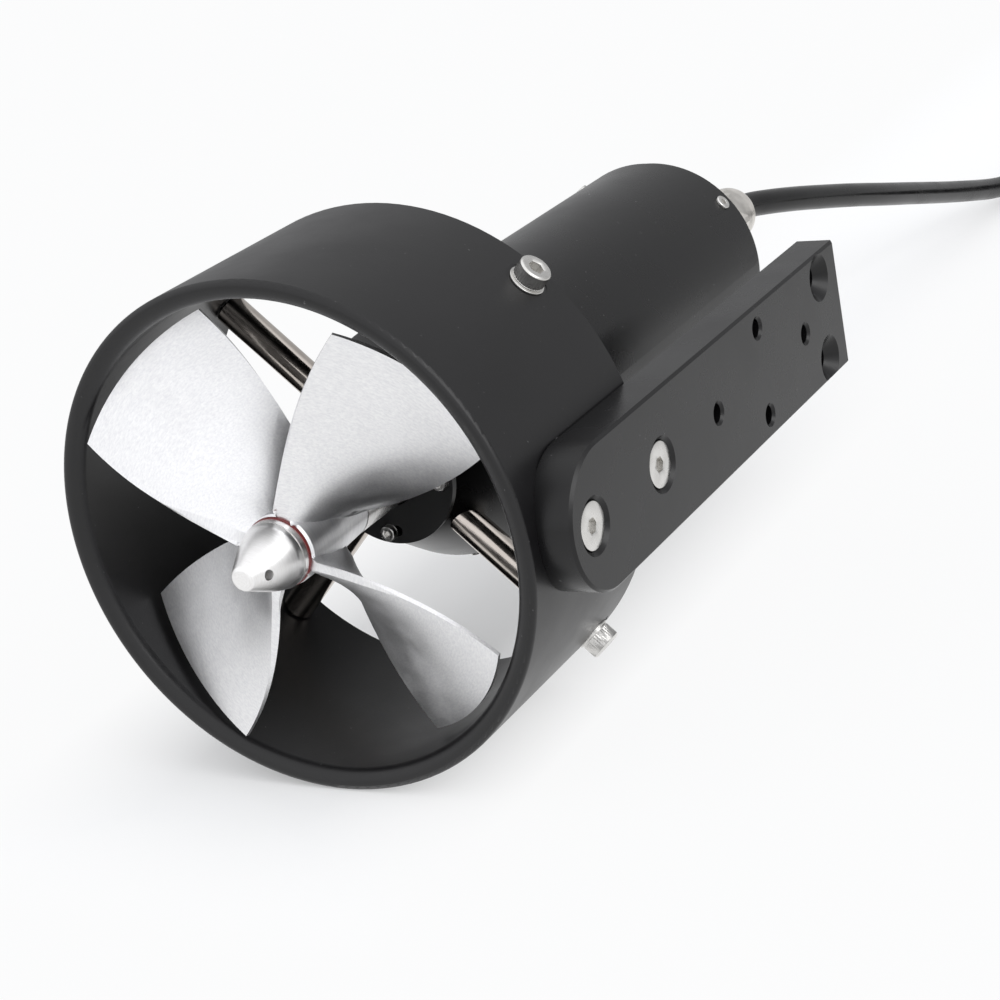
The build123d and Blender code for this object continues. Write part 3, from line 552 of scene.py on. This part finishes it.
def blade_shape(out, station, turn):
    """The blades get thin edges and a flare at the root, on a slimmer hub."""
    nearest = radians(BLADE_ANGLE + 90 * round((turn * 180 / pi - BLADE_ANGLE) / 90))
    distance, across = out * cos(turn - nearest), out * sin(turn - nearest)
    reach = min(1, max(0, (distance - HUB) / BLADE_LENGTH))
    half_width = distance * tan(radians(BLADE_ROOT_SPAN - BLADE_NARROWING * reach ** 1.3))
    step = min(1, abs(across) / half_width)
    solid = (BLADE_TIP + BLADE_ROOT_MORE * (1 - reach) ** 2) / 2
    flared = solid + BLADE_FLARE * (1 - reach) ** 10
    before = solid * (1 - 0.4 * step ** 2)
    after = BLADE_EDGE + (flared - BLADE_EDGE) * (1 - step ** 2)
    lead = BLADE_PITCH / (2 * pi)
    middle = BLADE_MIDDLE - lead * atan2(across, distance)
    lean = sqrt(1 + (lead * distance / out ** 2) ** 2)
    on_root = out > HUB - 0.1 and abs(station - middle) < 1.15 * before * lean
    if out > HUB + 0.3 or on_root:
        station = middle + (station - middle) * after / before
    if HUB_CORE < out < HUB + 0.05:
        out *= HUB_SLIMMER
    return out, station


reshaped("spinner_turned", "spinner_nut", spinner_shape, "spinner", "rotor", 24)
reshaped("gland_dome_nut", "gland_nut", gland_shape, "gland", "housing")
reshaped("propeller_blades", "propeller", blade_shape, "propeller", "rotor", 0)
add_struts()
add_fasteners()


def add_connector():
    """Moulded connector: ribs on its tapered tail and a knurled locking sleeve."""
    start = Vector((0.0973, 0.309, 0.0092))
    along = (CONNECTOR_END - start).to_track_quat("Z", "Y").to_matrix().to_4x4()
    place = Matrix.Translation(CONNECTOR_END) @ along
    profile = [(3.5, 0), (3.9, 0.2)]
    rib_count, rib_spacing = 5, 2.2
    for i in range(rib_count):
        low = 1.0 + rib_spacing * i
        radius = 4.0 + 2.0 * i / rib_count
        profile += [
            (radius + 0.4, low), (radius + 0.45, low + 1.0), (radius - 0.2, low + 1.3), (radius, low + 2.0),
        ]
    profile += [
        (6.3, 12.2), (7.0, 13.0), (7.0, 41.6), (6.8, 42.0), (5.4, 42.0), (5.3, 40.5), (0, 40.5),
    ]
    shell = turned(profile, 48)
    bmesh.ops.transform(shell, matrix=place, verts=shell.verts)
    sleeve = turned([
        (7.0, 30.2), (8.1, 30.2), (8.5, 30.7), (8.5, 31.4), (8.5, 40.6), (8.5, 41.3), (8.1, 41.8),
        (7.0, 41.8), (7.0, 30.2),
    ])
    knurl(sleeve, 31.2, 40.8, radius=8.5, depth=0.35)
    bmesh.ops.transform(sleeve, matrix=place, verts=sleeve.verts)
    circle, root = 3 * MM, 40.4 * MM
    pin_angles = (0, 2 * pi / 3, 4 * pi / 3)
    pins = gathered(
        lambda: turned([(0, 0), (1, 0), (1, 8), (0.6, 8.6), (0, 8.6)], 24),
        [place @ Matrix.Translation((circle * cos(a), circle * sin(a), root)) for a in pin_angles],
    )
    return [
        finished("connector_pins", pins, "brass", "housing", "plug_pins"),
        finished("connector_shell", shell, "plug", "housing", "plug_body"),
        finished("connector_sleeve", sleeve, "plug", "housing", "plug_ring"),
    ]


def add_coil_tie():
    """Rubber strap round the turns of the coil."""
    across, width, height = 19.4 * MM, 7 * MM, 15.4 * MM
    corner, thickness = 3.2 * MM, 0.7 * MM
    radius, middle, angle = 34.85 * MM, 7.95 * MM, radians(62)
    bm = bmesh.new()
    bmesh.ops.create_cube(bm, size=1)
    bmesh.ops.scale(bm, vec=(across, width, height), verts=bm.verts)
    ends = [face for face in bm.faces if abs(face.normal.y) > 0.5]
    bmesh.ops.delete(bm, geom=ends, context="FACES_ONLY")
    corners = [edge for edge in bm.edges if abs(edge.verts[0].co.y - edge.verts[1].co.y) > MM]
    bmesh.ops.bevel(
        bm, geom=corners, offset=corner, affect="EDGES", segments=6, profile=0.5, material=-1,
    )
    bmesh.ops.recalc_face_normals(bm, faces=bm.faces)
    bmesh.ops.solidify(bm, geom=bm.faces[:], thickness=thickness)
    place = COIL_CENTRE + Vector((radius * cos(angle), radius * sin(angle), middle))
    turn = Matrix.Rotation(angle, 4, "Z")
    bmesh.ops.transform(bm, matrix=Matrix.Translation(place) @ turn, verts=bm.verts)
    tie = finished("coil_tie", bm, "rubber", "housing")
    return tie


add_connector() + [add_coil_tie()]


# Floor, sky and lamps
def set_floor():
    """White paper: a painted glow keeps it bright wherever it is seen and covers its real shadow, except in a
    strip under and behind the thruster, where the glow is weaker and real shade shows; seen in reflections,
    the glow is painted dimmer away from a bright spot.
    """
    mesh = bpy.data.meshes.new("floor")
    bm = bmesh.new()
    bmesh.ops.create_grid(bm, x_segments=1, y_segments=1, size=6)
    bm.to_mesh(mesh)
    bm.free()
    floor = bpy.data.objects.new("floor", mesh)
    bpy.context.scene.collection.objects.link(floor)
    finish, shader = new_finish("white paper", (0.90, 0.905, 0.91), 0.0, 0.9)
    shader.inputs["Specular IOR Level"].default_value = 0.1
    painted_glow = add(finish, "Emission")
    painted_glow.inputs["Color"].default_value = (0.995, 0.997, 1.0, 1)
    path = add(finish, "LightPath").outputs
    mirrored = maths(finish, "MAXIMUM", path["Is Glossy Ray"], path["Is Transmission Ray"])
    seen = maths(finish, "MAXIMUM", path["Is Camera Ray"], mirrored)

    # Painted light: the glow covers the real shadow on the paper, except in a strip under and behind the
    # thruster, where more of the lit paper shows through.
    shade_middle, shade_front = 0.025, -0.105
    spot = add(finish, "SeparateXYZ")
    wire(finish, add(finish, "TexCoord").outputs["Object"], spot.inputs[0])
    sideways = maths(finish, "ABSOLUTE", maths(finish, "ADD", shade_middle, spot.outputs["X"]))
    ahead = maths(finish, "SUBTRACT", shade_front, spot.outputs["Y"])
    away = maths(finish, "MAXIMUM", sideways, ahead)
    near = spread(finish, away, low=0.30, high=0.95, start=0.02, end=0.062)
    even = maths(finish, "MULTIPLY", mirrored, 0.9)
    share = maths(finish, "MULTIPLY", seen, maths(finish, "MAXIMUM", near, even))

    # Painted shade: seen in reflections, the paper's glow is dimmed by up to 0.4 away from this bright spot.
    bright_spot = (-0.05, -0.3, 0)
    distance = add(finish, "VectorMath", operation="LENGTH")
    wire(finish, on_object(finish, bright_spot), distance.inputs[0])
    dimmer = spread(finish, distance.outputs["Value"], low=0, high=0.4, start=0.3, end=0.9)
    level = maths(finish, "SUBTRACT", 0.975, maths(finish, "MULTIPLY", dimmer, mirrored))
    wire(finish, level, painted_glow.inputs["Strength"])

    mix = add(finish, "MixShader")
    wire(finish, share, mix.inputs[0])
    wire(finish, shader.outputs[0], mix.inputs[1])
    wire(finish, painted_glow.outputs[0], mix.inputs[2])
    wire(finish, mix.outputs[0], finish.node_tree.nodes["Material Output"].inputs["Surface"])
    mesh.materials.append(finish)


def set_sky():
    """A soft white surround, brighter in front and overhead than behind the thruster."""
    world = bpy.data.worlds.new("studio")
    bpy.context.scene.world = world
    world.use_nodes = True
    back = world.node_tree.nodes["Background"]
    back.inputs["Color"].default_value = (0.98, 0.985, 1.0, 1)
    towards = add(world, "VectorMath", operation="DOT_PRODUCT")
    towards.inputs[1].default_value = (0.15, -0.72, 0.68)
    wire(world, add(world, "TexCoord").outputs["Generated"], towards.inputs[0])
    level = spread(world, towards.outputs["Value"], low=0.56, high=1.21, start=-0.12, end=0.4)
    level.node.interpolation_type = "SMOOTHSTEP"
    seen = add(world, "Mix")
    wire(world, add(world, "LightPath").outputs["Is Camera Ray"], seen.inputs["Factor"])
    wire(world, level, seen.inputs["A"])
    seen.inputs["B"].default_value = 0.98
    wire(world, seen.outputs["Result"], back.inputs["Strength"])


def softbox(name, place, aim, size, power):
    lamp = bpy.data.lights.new(name, "AREA")
    lamp.shape = "RECTANGLE"
    lamp.size, lamp.size_y = size
    lamp.energy = power
    holder = bpy.data.objects.new(name, lamp)
    bpy.context.scene.collection.objects.link(holder)
    away = Vector(place) - Vector(aim)
    holder.matrix_world = Matrix.Translation(place) @ away.to_track_quat("Z", "Y").to_matrix().to_4x4()


set_floor()
set_sky()
softbox("right", place=(1.6, -0.3, 1.1), aim=(0.05, 0, 0), size=(1.2, 1.0), power=9)

bpy.context.scene.view_settings.view_transform = "Standard"
bpy.context.view_layer.update()
